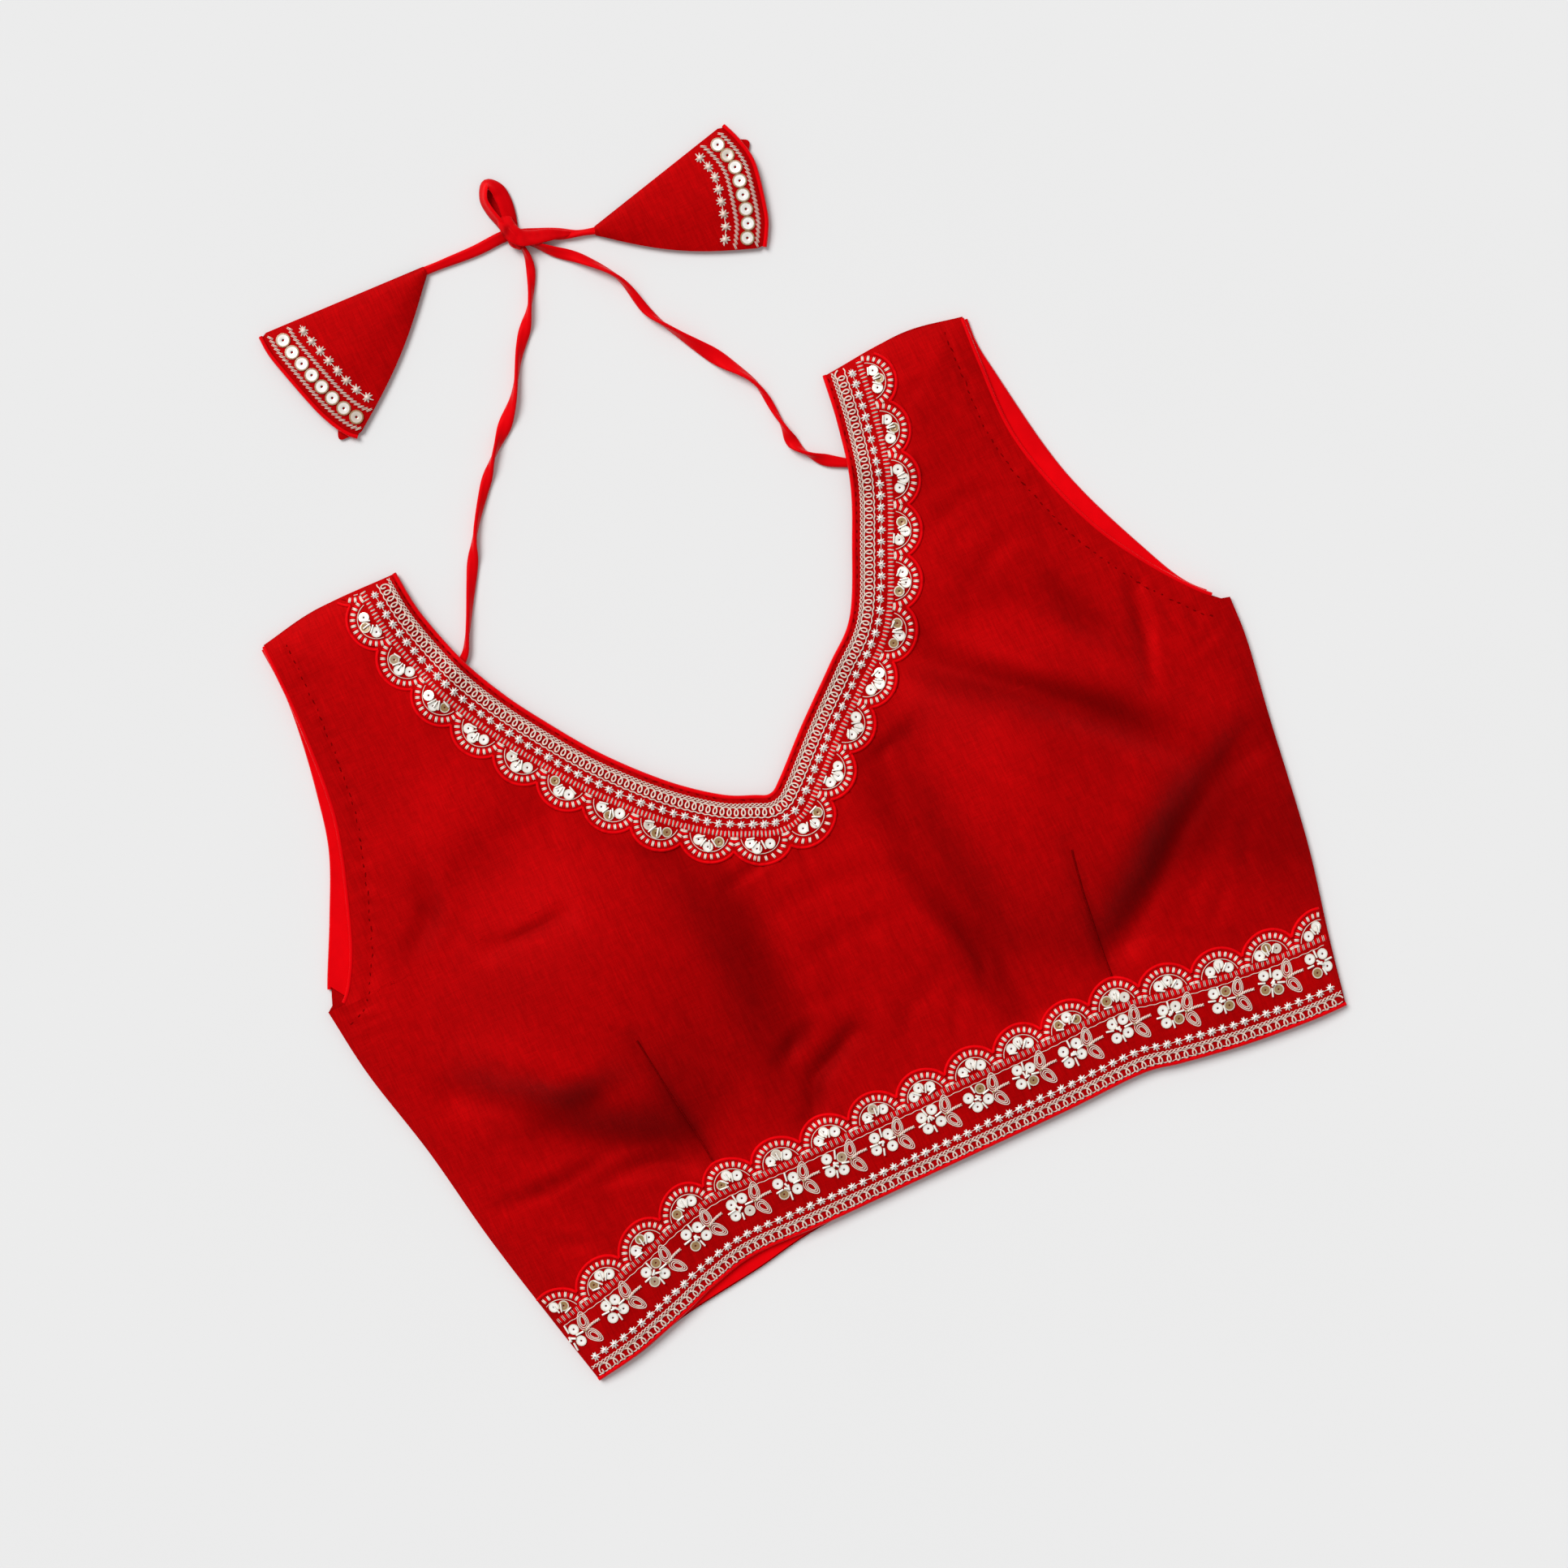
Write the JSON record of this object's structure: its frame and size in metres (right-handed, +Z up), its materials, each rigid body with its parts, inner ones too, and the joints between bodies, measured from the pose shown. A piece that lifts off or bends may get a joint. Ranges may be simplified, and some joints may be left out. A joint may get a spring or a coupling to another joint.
{
  "type": "choli blouse",
  "caption": "Sleeveless blouse laid flat, with shaped cups, waist darts, scalloped borders at the V neck and hem, and tie cords knotted above the neck that end in cloth cone tassels.",
  "frame": {"origin": "on the table under the middle of the bodice's box, the tie cords left out", "axes": "+X across the blouse to the wearer's left (the viewer's right), +Y from the hem to the neck, +Z up from the table, the front facing up"},
  "size_m": [0.464, 0.5294, 0.0284],
  "materials": {
    "shell_silk": "slubbed red art silk with a soft sheen",
    "lining_satin": "bright red satin lining, bias piping and tie cords",
    "embroidery": "pale gold thread embroidery with sequins and beads on red silk"
  },
  "bodies": {
    "root": {"front_panel": "shell_silk", "back_left_panel": "shell_silk", "back_right_panel": "shell_silk", "back_placket": "lining_satin", "back_hem_facing": "lining_satin", "armhole_facing_left": "lining_satin", "armhole_facing_right": "lining_satin", "neck_piping": "lining_satin", "hem_piping": "lining_satin", "front_armhole_piping_left": "lining_satin", "front_armhole_piping_right": "lining_satin", "back_armhole_piping_left": "lining_satin", "back_armhole_piping_right": "lining_satin", "neck_border": "embroidery", "hem_border": "embroidery", "dori_left": "lining_satin", "dori_right": "lining_satin", "dori_tail_left": "lining_satin", "dori_tail_right": "lining_satin", "dori_bow_loop": "lining_satin", "dori_knot": "lining_satin", "tassel_left": "shell_silk", "tassel_right": "shell_silk", "tassel_piping_left": "lining_satin", "tassel_piping_right": "lining_satin"}
  },
  "joints": []
}
